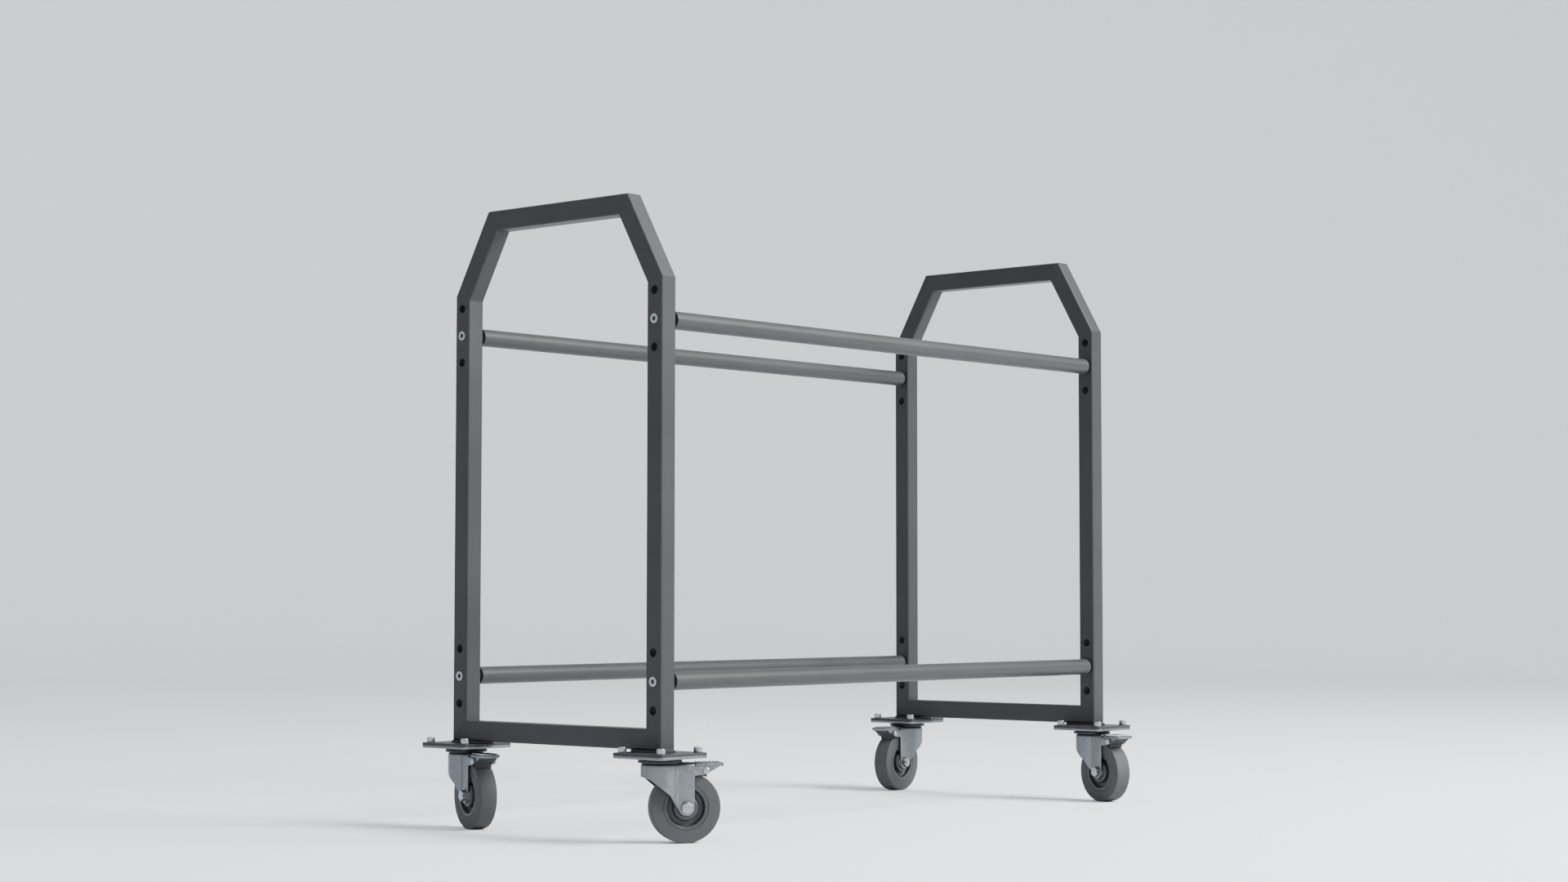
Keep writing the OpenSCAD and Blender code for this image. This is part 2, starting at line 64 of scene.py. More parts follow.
# Adds one node with its values, its links and its settings
def addNode(tree, kind, values=None, links=None, **settings):
    node = tree.nodes.new(kind)
    for key, value in settings.items():
        setattr(node, key, value)
    for socket, value in (values or {}).items():
        node.inputs[socket].default_value = value
    for socket, source in (links or {}).items():
        tree.links.new(source, node.inputs[socket])
    return node


# An empty material with its shader joined to the output
def newFinish(name, values):
    finish = bpy.data.materials.new(name)
    finish.use_nodes = True
    tree = finish.node_tree
    tree.nodes.clear()
    shader = addNode(tree, "ShaderNodeBsdfPrincipled", values)
    addNode(tree, "ShaderNodeOutputMaterial", links={"Surface": shader.outputs["BSDF"]})
    return finish, tree, shader


# What the finishes share: a cloud mixes two tones and moves the roughness between two values, and a grain
# gives the bump
def dressShader(tree, shader, cloud, grain, tones, toneEnds, roughEnds, bumpStrength, grainDepthMm):
    tone = addNode(tree, "ShaderNodeValToRGB", links={"Fac": cloud})
    for end, position, hexColour in zip(tone.color_ramp.elements, toneEnds, tones):
        end.position, end.color = position, linear(hexColour)
    rough = addNode(tree, "ShaderNodeMapRange", {"To Min": roughEnds[0], "To Max": roughEnds[1]},
                    {"Value": cloud})
    bump = addNode(tree, "ShaderNodeBump", {"Strength": bumpStrength, "Distance": grainDepthMm * mm},
                   {"Height": grain})
    tree.links.new(tone.outputs["Color"], shader.inputs["Base Color"])
    tree.links.new(rough.outputs["Result"], shader.inputs["Roughness"])
    tree.links.new(bump.outputs["Normal"], shader.inputs["Normal"])


# Satin powder coat on steel: the eye sees a fine orange peel and a very slight cloudiness
powderCoat = dict(peelMm=1.6, peelDepthMm=0.05, peelStrength=0.6, cloudMm=140, toneEnds=(0.3, 0.7),
                  roughness=(0.42, 0.56), specular=0.22)


def powderCoatedSteel(name, paler, darker):
    p = powderCoat
    finish, tree, shader = newFinish(name, {"Specular IOR Level": p["specular"]})
    place = addNode(tree, "ShaderNodeTexCoord").outputs["Object"]
    cloud = addNode(tree, "ShaderNodeTexNoise", {"Scale": 1 / (p["cloudMm"] * mm), "Detail": 3.0},
                    {"Vector": place})
    peel = addNode(tree, "ShaderNodeTexNoise", {"Scale": 1 / (p["peelMm"] * mm), "Detail": 1.0},
                   {"Vector": place})
    dressShader(tree, shader, cloud.outputs["Fac"], peel.outputs["Fac"], (darker, paler), p["toneEnds"],
                p["roughness"], p["peelStrength"], p["peelDepthMm"])
    return finish


# The rails' coat: the same satin sheen, with painted shade laid on the faces that point up, broken into faint dark
# streaks by a stretched noise
railTopPaintedShade = dict(shadeStreakMm=18, stretch=5.0, share=0.35, markEnds=(0.52, 0.72), upwardEnds=(0.1, 0.9))


def railCoatWithPaintedShade(name, paler, darker, paintedShade):
    s = railTopPaintedShade
    finish = powderCoatedSteel(name, paler, darker)
    tree = finish.node_tree
    shader = next(node for node in tree.nodes if node.type == "BSDF_PRINCIPLED")
    coat = shader.inputs["Base Color"].links[0].from_socket
    place = addNode(tree, "ShaderNodeTexCoord").outputs["Object"]
    squeezed = addNode(tree, "ShaderNodeMapping", {"Scale": (s["stretch"], 1.0, 1.0)}, {"Vector": place})
    shadeStreaks = addNode(tree, "ShaderNodeTexNoise", {"Scale": 1 / (s["shadeStreakMm"] * s["stretch"] * mm), "Detail": 4.0},
                    {"Vector": squeezed.outputs["Vector"]})
    # painted shade: this mask follows the surface's upward normal, so only the top faces of the rails are darkened
    facing = addNode(tree, "ShaderNodeSeparateXYZ",
                     links={"Vector": addNode(tree, "ShaderNodeNewGeometry").outputs["Normal"]})
    upper = addNode(tree, "ShaderNodeMapRange", dict(zip(("From Min", "From Max"), s["upwardEnds"])),
                    {"Value": facing.outputs["Z"]})
    strong = addNode(tree, "ShaderNodeMapRange",
                     {"From Min": s["markEnds"][0], "From Max": s["markEnds"][1], "To Max": s["share"]},
                     {"Value": shadeStreaks.outputs["Fac"]})
    share = addNode(tree, "ShaderNodeMath", links={0: upper.outputs["Result"], 1: strong.outputs["Result"]},
                    operation="MULTIPLY")
    # painted shade: the dark colour mixed into the coat on the upward faces
    shadedCoat = addNode(tree, "ShaderNodeMix", {"B": linear(paintedShade)}, data_type="RGBA")
    tree.links.new(share.outputs["Value"], shadedCoat.inputs["Factor"])
    tree.links.new(coat, shadedCoat.inputs["A"])
    tree.links.new(shadedCoat.outputs["Result"], shader.inputs["Base Color"])
    return finish


# Zinc plate on pressed or turned steel: a dull metal with faint bluish clouds and a fine grain from the press.
# The real grain is finer, and is drawn coarser here so that it shows.
zincPlate = dict(cloudMm=9, grainMm=0.7, grainDepthMm=0.02, grainStrength=0.5, toneEnds=(0.32, 0.68),
                 smoother=0.07, rougher=0.09)


def zincPlatedSteel(name, paler, darker, roughness):
    z = zincPlate
    finish, tree, shader = newFinish(name, {"Metallic": 1.0})
    place = addNode(tree, "ShaderNodeTexCoord").outputs["Object"]
    cloud = addNode(tree, "ShaderNodeTexNoise", {"Scale": 1 / (z["cloudMm"] * mm), "Detail": 4.0},
                    {"Vector": place})
    grain = addNode(tree, "ShaderNodeTexNoise", {"Scale": 1 / (z["grainMm"] * mm), "Detail": 2.0},
                    {"Vector": place})
    dressShader(tree, shader, cloud.outputs["Fac"], grain.outputs["Fac"], (darker, paler), z["toneEnds"],
                (roughness - z["smoother"], roughness + z["rougher"]), z["grainStrength"], z["grainDepthMm"])
    return finish


# Moulded rubber or plastic: a matt skin with a fine spark-eroded grain and a little dust in its tone. The real
# grain is finer, and is drawn coarser here so that it shows.
moulding = dict(dustMm=25, dustBreakUp=0.65, toneEnds=(0.35, 0.72), smoother=0.06, rougher=0.08,
                grainStrength=0.5, specular=0.4)


def mouldedSkin(name, paler, darker, grainMm, depthMm, roughness):
    m = moulding
    finish, tree, shader = newFinish(name, {"Specular IOR Level": m["specular"]})
    place = addNode(tree, "ShaderNodeTexCoord").outputs["Object"]
    dust = addNode(tree, "ShaderNodeTexNoise",
                   {"Scale": 1 / (m["dustMm"] * mm), "Detail": 6.0, "Roughness": m["dustBreakUp"]},
                   {"Vector": place})
    grain = addNode(tree, "ShaderNodeTexVoronoi", {"Scale": 1 / (grainMm * mm)}, {"Vector": place})
    dressShader(tree, shader, dust.outputs["Fac"], grain.outputs["Distance"], (darker, paler), m["toneEnds"],
                (roughness - m["smoother"], roughness + m["rougher"]), m["grainStrength"], depthMm)
    return finish


# One finish for each slot, from its paler and its darker tone
finishes = {
    "frame_paint": powderCoatedSteel("graphite_powder_coat", "#262627", "#222223"),
    # the rails' coat carries painted shade on its upward faces
    "rail_paint": railCoatWithPaintedShade("powder_coat_with_painted_shade", "#2b2b2c", "#272728", "#141414"),
    "plug_nylon": mouldedSkin("black_nylon", "#2a2a2b", "#1f1f20", 0.9, 0.03, 0.6),
    "zinc_small": zincPlatedSteel("zinc_turned_parts", "#8d9296", "#7f8488", 0.36),
    "zinc_bolt": zincPlatedSteel("zinc_fasteners", "#94999d", "#858a8e", 0.32),
    "zinc_plate": zincPlatedSteel("zinc_pressings", "#6a6e71", "#5f6366", 0.42),
    "bearing_dark": mouldedSkin("black_seal_ring", "#2c2d2e", "#222324", 0.8, 0.03, 0.5),
    "tread_rubber": mouldedSkin("grey_tread_rubber", "#333435", "#2b2c2d", 1.1, 0.05, 0.74),
    "hub_plastic": mouldedSkin("moulded_hub", "#2c2d2f", "#252628", 1.0, 0.03, 0.48),
    "bush_nylon": mouldedSkin("natural_nylon", "#b9b7ad", "#aba99f", 1.0, 0.02, 0.5),
    "pedal_zinc": zincPlatedSteel("zinc_pedal", "#6e7275", "#62666a", 0.4),
    "shoe_rubber": mouldedSkin("black_shoe_rubber", "#2b2b2b", "#1e1e1e", 1.2, 0.05, 0.8),
}
for name, node in nodes.items():
    for slot in node.material_slots:
        slot.material = finishes[slotOf[name]]
print("finishes made:", len(finishes))


# Corner numbers of every quad of a grid; a wrapped direction joins its last line to its first
def gridFaces(across, along, wrapAcross, wrapAlong):
    u = np.arange(across if wrapAcross else across - 1)[:, None]
    v = np.arange(along if wrapAlong else along - 1)[None, :]
    nextU, nextV = (u + 1) % across, (v + 1) % along
    quads = [u * along + v, nextU * along + v, nextU * along + nextV, u * along + nextV]
    return np.stack(quads, axis=-1).reshape(-1, 4)


# One object from surfaces in millimetres: each grid is (points, wrapped across, wrapped along), and an
# outline is a flat face. Doubles are merged before the normals are turned outwards.
def makePiece(name, grids, outlines=(), sharpAngle=38):
    points, faces, first = [], [], 0
    for grid, wrapAcross, wrapAlong in grids:
        points.append(grid.reshape(-1, 3))
        faces += (gridFaces(*grid.shape[:2], wrapAcross, wrapAlong) + first).tolist()
        first += len(points[-1])
    for outline in outlines:
        points.append(outline)
        faces.append(list(range(first, first + len(outline))))
        first += len(outline)
    mesh = bpy.data.meshes.new(name)
    mesh.from_pydata((np.vstack(points) * mm).tolist(), [], faces)
    work = bmesh.new()
    work.from_mesh(mesh)
    bmesh.ops.remove_doubles(work, verts=work.verts, dist=0.002 * mm)
    bmesh.ops.recalc_face_normals(work, faces=work.faces)
    work.to_mesh(mesh)
    work.free()
    mesh.shade_smooth()
    mesh.set_sharp_from_angle(angle=radians(sharpAngle))
    piece = bpy.data.objects.new(name, mesh)
    bpy.context.scene.collection.objects.link(piece)
    return piece


# Gives an open sheet its thickness, inwards from the modelled face, and rounds its edges
def thicken(piece, sheet, edge, sharpAngle=38):
    solid = piece.modifiers.new("sheet", "SOLIDIFY")
    solid.thickness, solid.offset, solid.use_even_offset = sheet * mm, -1, True
    rounded = piece.modifiers.new("edge", "BEVEL")
    rounded.width, rounded.segments, rounded.angle_limit = edge * mm, 2, radians(50)
    ready = piece.evaluated_get(bpy.context.evaluated_depsgraph_get())
    mesh = bpy.data.meshes.new_from_object(ready)
    piece.modifiers.clear()
    piece.data = mesh
    mesh.shade_smooth()
    mesh.set_sharp_from_angle(angle=radians(sharpAngle))


# A finished piece: its finish, the body that it moves with and the nodes that it stands for
def settle(piece, body, slotName, *replaced):
    piece.data.materials.clear()
    piece.data.materials.append(finishes[slotName])
    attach(piece, body)
    if replaced:
        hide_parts(*replaced)


# Points of an arc about (x, y), from one angle to another in degrees
def arc(x, y, r, start, end, steps):
    turn = np.radians(np.linspace(start, end, steps + 1))
    return np.column_stack([x + r * np.cos(turn), y + r * np.sin(turn)])


# A profile turned about Z. Each row is (radius, height) or (radius, height, hexagon share, largest radius):
# at share 1 the radius is the distance to a hexagon's flat, and the largest radius cuts its corners to a
# chamfer. A knurl takes even cosine grooves from the rows of full radius.
def turned(rows, steps=72, knurl=0.0, ridges=30):
    table = np.array([(*row, 0, inf)[:4] for row in rows], float)
    r, z, share, limit = table.T[:, None, :]
    angle = np.linspace(0, 2 * pi, steps, endpoint=False)[:, None]
    flat = np.cos((angle + pi / 6) % (pi / 3) - pi / 6)
    r = np.minimum(r * (1 + share * (1 / flat - 1)), limit)
    if knurl:
        r = r - knurl * (0.5 - 0.5 * np.cos(ridges * angle)) * (r == r.max())
    return np.stack([r * np.cos(angle), r * np.sin(angle), z + 0 * angle], axis=-1)


# Copies of one grid at several places
def copies(grid, places):
    return [(grid + np.array(place), True, False) for place in places]


# A rectangle with round corners, anticlockwise from its right side
def roundedOutline(width, length, r, steps=8):
    x, y = width / 2 - r, length / 2 - r
    return np.vstack([arc(x, y, r, 0, 90, steps), arc(-x, y, r, 90, 180, steps),
                      arc(-x, -y, r, 180, 270, steps), arc(x, -y, r, 270, 360, steps)])


# A flat slab with rounded edges: the outline is carried up a quarter round, the side and a quarter round
def slab(width, length, cornerR, bottom, top, edge, centre=(0, 0)):
    turn = np.radians([0, 30, 60, 90])
    inset, rise = edge * (1 - np.sin(turn)), edge * (1 - np.cos(turn))
    rows = []
    for d, z in (*zip(inset, bottom + rise), *zip(inset[::-1], top - rise[::-1])):
        outline = roundedOutline(width - 2 * d, length - 2 * d, cornerR - d) + np.array(centre)
        rows.append(np.column_stack([outline, np.full(len(outline), z)]))
    return (np.stack(rows), False, True), rows[0], rows[-1]


# Caster pieces are drawn with the swivel axis on Z and the trail along +X, then put in their corner. The
# joints say where each caster's axes are.
def casterFacts(corner):
    swivel, axle, pivot = (np.array(joints[f"{corner}_{motion}"]["pos_m"]) / mm
                           for motion in ("swivel_turn", "wheel_spin", "pedal_press"))
    back = axle - swivel
    return dict(corner=corner, centre=swivel[:2], turn=atan2(back[1], back[0]), trail=hypot(*back[:2]),
                axleZ=axle[2], pivotX=hypot(*(pivot - swivel)[:2]), pivotZ=pivot[2],
                crownTop=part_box(f"{corner}_fork")[1].z / mm)


casters = [casterFacts(corner) for corner in corners]


# Points turned by the caster's heading and moved to its swivel axis
def atCaster(points, caster):
    c, s = cos(caster["turn"]), sin(caster["turn"])
    x, y, z = np.moveaxis(points, -1, 0)
    centre = caster["centre"]
    return np.stack([centre[0] + c * x - s * y, centre[1] + s * x + c * y, z], axis=-1)


# A turned grid laid along Y, with its axis through (x, z)
def onCrossAxis(grid, x, z):
    return np.stack([x + grid[..., 0], grid[..., 2], z + grid[..., 1]], axis=-1)


# Fork: a pressed sheet. A rounded profile is carried round the crown's plan, whose foot slopes down into
# the two legs; the flat sides that hold the axle and the pedal's pivot are cut outlines.
forkSizes = dict(crownR=35, crownRound=6.5, blendR=8, sheet=3, halfWidth=23, skirtHeight=25, slopeRun=11,
                 slopeDrop=4, holeR=6.3, kneeLead=31.5, kneeRise=22.5, legEndR=14.5, earR=7, earRoot=2, edge=0.5)


def makeFork(caster):
    f = forkSizes
    trail, axleZ, pivotX, pivotZ, top = (caster[k] for k in ("trail", "axleZ", "pivotX", "pivotZ", "crownTop"))
    rear, wallTop, half = trail + f["legEndR"], top - f["crownRound"], f["halfWidth"]
    blendY = half + f["blendR"]
    straightX = (((f["crownR"] + f["blendR"]) ** 2) - blendY ** 2) ** 0.5
    meet = np.degrees(atan2(blendY, straightX))

    # plan of the crown, from the right side round the front to the left side, with its outward normals
    blend = arc(straightX, -blendY, f["blendR"], 90, 180 - meet, 10)
    crown = arc(0, 0, f["crownR"], -meet, meet - 360, 96)
    plan = np.vstack([blend, crown[1:-1], blend[::-1] * (1, -1)])
    blendOut = (np.array([straightX, -blendY]) - blend) / f["blendR"]
    outward = np.vstack([blendOut, crown[1:-1] / f["crownR"], blendOut[::-1] * (1, -1)])

    # foot of the wall as a function of the distance back: skirt, slope, knee, leg
    lean = atan2(f["kneeRise"], -f["kneeLead"])
    touchTurn = np.degrees(lean + np.arccos(f["legEndR"] / hypot(f["kneeLead"], f["kneeRise"])))
    legEnd = arc(trail, axleZ, f["legEndR"], touchTurn, 360, 20)
    skirtZ = top - f["skirtHeight"]
    foot = np.interp(plan[:, 0], [-f["crownR"], f["slopeRun"] - f["crownR"], trail - f["kneeLead"], legEnd[0, 0]],
                     [skirtZ, skirtZ - f["slopeDrop"], axleZ + f["kneeRise"], legEnd[0, 1]])

    # profile: quarter round from the flat top to the wall, then straight down to the foot
    turn = np.radians(np.linspace(0, 90, 9))
    inset, drop = f["crownRound"] * (1 - np.sin(turn)), f["crownRound"] * (1 - np.cos(turn))
    down = np.linspace(0, 1, 15)[1:]
    roundPart = np.stack([np.column_stack([plan - d * outward, np.full(len(plan), top - z)])
                          for d, z in zip(inset, drop)], axis=1)
    wallPart = np.stack([np.column_stack([plan, wallTop + share * (foot - wallTop)]) for share in down], axis=1)
    shell = np.concatenate([roundPart, wallPart], axis=1)

    # flat top, a ring from the rim to the kingpin's hole, and the straight roof behind the blends
    rim, roundSteps = shell[:, 0], len(turn)
    closing = np.linspace(rim[-1], rim[0], 12)
    outer = np.vstack([rim, closing[1:-1]])
    bearing = np.arctan2(outer[:, 1], outer[:, 0])
    hole = np.column_stack([f["holeR"] * np.cos(bearing), f["holeR"] * np.sin(bearing), np.full(len(outer), top)])
    flatTop = np.stack([outer, hole], axis=1)
    section = np.vstack([shell[0, :roundSteps][::-1], closing[::-1][1:-1], shell[-1, :roundSteps]])[:, 1:]
    roof = np.stack([np.column_stack([np.full(len(section), x), section]) for x in (straightX, rear)])

    # flat side: leg, round end, rear edge and ear
    ear = arc(pivotX, pivotZ, f["earR"], -90, 90, 14)
    side = np.vstack([[[straightX, z] for z in shell[0, roundSteps - 1:, 2]], legEnd,
                      [[rear, pivotZ - f["earR"] - f["earRoot"]]], ear, [[rear, wallTop]]])
    sides = [np.column_stack([side[:, 0], np.full(len(side), y), side[:, 1]]) for y in (-half, half)]
    grids = [(atCaster(grid, caster), wrapped, False)
             for grid, wrapped in ((shell, False), (flatTop, True), (roof, False))]
    fork = makePiece(f"pressed_fork_{caster['corner']}", grids, [atCaster(outline, caster) for outline in sides])
    thicken(fork, f["sheet"], f["edge"])
    settle(fork, f"{caster['corner']}_swivel", "zinc_plate", f"{caster['corner']}_fork")


for caster in casters:
    makeFork(caster)
print("forks made")


# Swivel ring: two pressed race shells with a groove between them, round a cage of balls
swivelRing = dict(outerR=40, innerR=32, height=4.5, groove=0.8, edge=0.7, edgeBreak=0.3, ballCircleR=27,
                  ballR=2.2, balls=16, cageW=3, cageH=2)


def makeSwivelRing(caster):
    s = swivelRing
    outer, inner, high, e = s["outerR"], s["innerR"], s["height"], s["edge"]
    middle, cut = high / 2, s["edgeBreak"] * e
    rows = [(inner, 0), (outer - e, 0), (outer - cut, cut), (outer, e), (outer, middle - s["groove"] / 2),
            (outer - s["groove"], middle), (outer, middle + s["groove"] / 2), (outer, high - e),
            (outer - cut, high - cut), (outer - e, high), (inner, high), (inner, 0)]
    cageLow, cageHigh = middle - s["cageH"] / 2, middle + s["cageH"] / 2
    cageIn, cageOut = s["ballCircleR"] - s["cageW"] / 2, s["ballCircleR"] + s["cageW"] / 2
    cage = [(cageIn, cageLow), (cageOut, cageLow), (cageOut, cageHigh), (cageIn, cageHigh), (cageIn, cageLow)]
    tilt = np.linspace(-pi / 2, pi / 2, 9)
    ball = turned([(s["ballR"] * cos(t), s["ballR"] * sin(t)) for t in tilt], steps=12)
    spread = np.linspace(0, 2 * pi, s["balls"], endpoint=False)
    places = np.column_stack([s["ballCircleR"] * np.cos(spread), s["ballCircleR"] * np.sin(spread),
                              np.full(s["balls"], middle)])
    lift = np.array([0, 0, caster["crownTop"]])
    grids = [(turned(rows, steps=96), True, False), (turned(cage, steps=96), True, False), *copies(ball, places)]
    ring = makePiece(f"swivel_ring_{caster['corner']}", [(atCaster(g + lift, caster), a, b) for g, a, b in grids])
    settle(ring, f"{caster['corner']}_swivel", "bearing_dark", f"{caster['corner']}_swivel_bearing")


# Axle: a hexagon bolt and nut with chamfered corners, and the sleeve that the legs clamp
axleSizes = dict(legOutside=23, legInside=20, flats=19, headHeight=8, washerReach=0.98, washerHeight=0.25,
                 chamfer=1.0, chamferMiddle=0.45, chamferReach=(1.16, 1.06, 0.96), boltR=6, tail=2,
                 tailChamfer=0.8, nutSinkReach=1.12, nutSinkDepth=0.4, sleeveR=8)


# A hexagon head or nut from its seat outwards, as profile rows: a round washer face, then the hexagon, whose
# corners are cut back in two steps. A reach is a share of half the width across flats.
def hexEnd(seat, direction):
    a = axleSizes
    half, height, washerR = a["flats"] / 2, a["headHeight"], a["flats"] / 2 * a["washerReach"]
    first, middle, last = (half * reach for reach in a["chamferReach"])
    rows = [(washerR, 0, 0, washerR), (half, a["washerHeight"], 0, washerR), (half, a["washerHeight"], 1, inf),
            (half, height - a["chamfer"], 1, first),
            (half, height - a["chamferMiddle"] * a["chamfer"], 1, middle), (half, height, 1, last)]
    return [(r, seat + direction * h, share, limit) for r, h, share, limit in rows]


def makeAxle(caster):
    a = axleSizes
    outside, inside, r = a["legOutside"], a["legInside"], a["boltR"]
    nutFace = outside + a["headHeight"]
    tip = nutFace + a["tail"]
    rows = [(0, -nutFace), *hexEnd(-outside, -1)[::-1], (r, -outside), (r, -inside), (a["sleeveR"], -inside),
            (a["sleeveR"], inside), (r, inside), (r, outside), *hexEnd(outside, 1),
            (r * a["nutSinkReach"], nutFace), (r, nutFace - a["nutSinkDepth"]), (r, tip - a["tailChamfer"]),
            (r - a["tailChamfer"], tip), (0, tip)]
    grid = onCrossAxis(turned(rows), caster["trail"], caster["axleZ"])
    axle = makePiece(f"axle_bolt_{caster['corner']}", [(atCaster(grid, caster), True, False)], sharpAngle=28)
    settle(axle, f"{caster['corner']}_swivel", "zinc_bolt", f"{caster['corner']}_axle")


# Pedal pivot: a rivet pin whose two heads are low domes, a quarter round over a flat rim
pivotSizes = dict(pinR=4, headR=6, headHeight=2.6, rimHeight=0.6, legOutside=23)


def makePivot(caster):
    p = pivotSizes
    out, rim = p["legOutside"], p["rimHeight"]
    dome = [(p["headR"] * sin(t), out + rim + (p["headHeight"] - rim) * cos(t))
            for t in np.linspace(pi / 2, 0, 8)]
    right = [(p["pinR"], out), (p["headR"], out), *dome]
    left = [(r, -z) for r, z in right[::-1]]
    grid = onCrossAxis(turned([*left, *right], steps=48), caster["pivotX"], caster["pivotZ"])
    pin = makePiece(f"pivot_rivet_{caster['corner']}", [(atCaster(grid, caster), True, False)])
    settle(pin, f"{caster['corner']}_swivel", "zinc_bolt", f"{caster['corner']}_pedal_pivot")


for caster in casters:
    makeSwivelRing(caster)
    makeAxle(caster)
    makePivot(caster)
print("swivel rings, axles and pivots made")


# Wheel: a tread ring with round shoulders and a faint crown, bonded to a dished hub with a round boss
wheelSizes = dict(treadR=64, halfWidth=17.5, shoulder=2.4, crown=0.3, rimR=41, lip=1.0, rimFace=34, rimRound=2.2,
                  rimDrop=0.3, rimInset=0.9, rimEdge=0.8, webHalf=6, webFillet=3.5, bossR=22.5, bossStand=0.5,
                  bossRound=3.0, boreR=12.05, collarR=15.5, collarDrop=1.2, collarFillet=0.6, collarLip=0.4)


# A quarter round about (r, z) from one angle to another, as profile rows
def quarter(r, z, size, start, end, steps=6):
    return [tuple(row) for row in arc(r, z, size, start, end, steps)]


def makeWheel(caster):
    w = wheelSizes
    half, outer, rim, s = w["halfWidth"], w["treadR"], w["rimR"], w["shoulder"]
    bend = np.linspace(-1, 1, 13)
    crown = [(outer - w["crown"] * b * b, (half - s) * b) for b in bend]
    low = quarter(outer - s - w["crown"], -half + s, s, -90, 0)
    high = quarter(outer - s - w["crown"], half - s, s, 0, 90)
    tread = [(rim, -half + w["lip"]), (rim + w["lip"], -half), *low, *crown[1:-1], *high,
             (rim + w["lip"], half), (rim, half - w["lip"]), (rim, -half + w["lip"])]

    # one face of the hub, from the bore outwards, then mirrored for the other face
    bossFace, web, b, fillet = half + w["bossStand"], w["webHalf"], w["bossRound"], w["webFillet"]
    collar, collarFace, collarFillet = w["collarR"], bossFace - w["collarDrop"], w["collarFillet"]
    rimSide, rimEdge = half - w["rimDrop"], w["rimEdge"]
    face = [(w["boreR"], collarFace), (collar - collarFillet, collarFace), (collar, bossFace - collarFillet),
            (collar + w["collarLip"], bossFace), *quarter(w["bossR"] - b, bossFace - b, b, 90, 0),
            *quarter(w["bossR"] + fillet, web + fillet, fillet, 180, 270),
            *quarter(w["rimFace"] - fillet, web + fillet, fillet, 270, 360),
            *quarter(w["rimFace"] + w["rimRound"], rimSide - w["rimRound"], w["rimRound"], 180, 90),
            *quarter(rim - w["rimInset"], rimSide - rimEdge, rimEdge, 90, 0)]
    hub = [*face, *[(r, -z) for r, z in face[::-1]], face[0]]
    for name, rows, node, slotName in (("wheel_tread", tread, "tread", "tread_rubber"),
                                       ("wheel_hub", hub, "hub", "hub_plastic")):
        grid = onCrossAxis(turned(rows, steps=96), caster["trail"], caster["axleZ"])
        piece = makePiece(f"{name}_{caster['corner']}", [(atCaster(grid, caster), True, False)])
        settle(piece, f"{caster['corner']}_wheel", slotName, f"{caster['corner']}_{node}")


for caster in casters:
    makeWheel(caster)
print("wheels made")


# Brake pedal: a pressed channel. Its cross-section is carried back from the crown: two flanges, bends and
# a top that rises into a half-round rib at every pitch; the flanges' foot follows the pivot's round.
pedalSizes = dict(frontGap=2, legEndR=14.5, reach=33, rise=11, sheet=2.5, halfWidth=19.5, bend=3.2, ribR=1.8,
                  ribPitch=6.5, ribSetback=2, ribFade=1.2, setback=4, tipDepth=2, lip=4, lipCornerR=1.2,
                  lipDrop=0.2, earR=7, frontStrip=2, footDrop=0.2, edge=0.7)


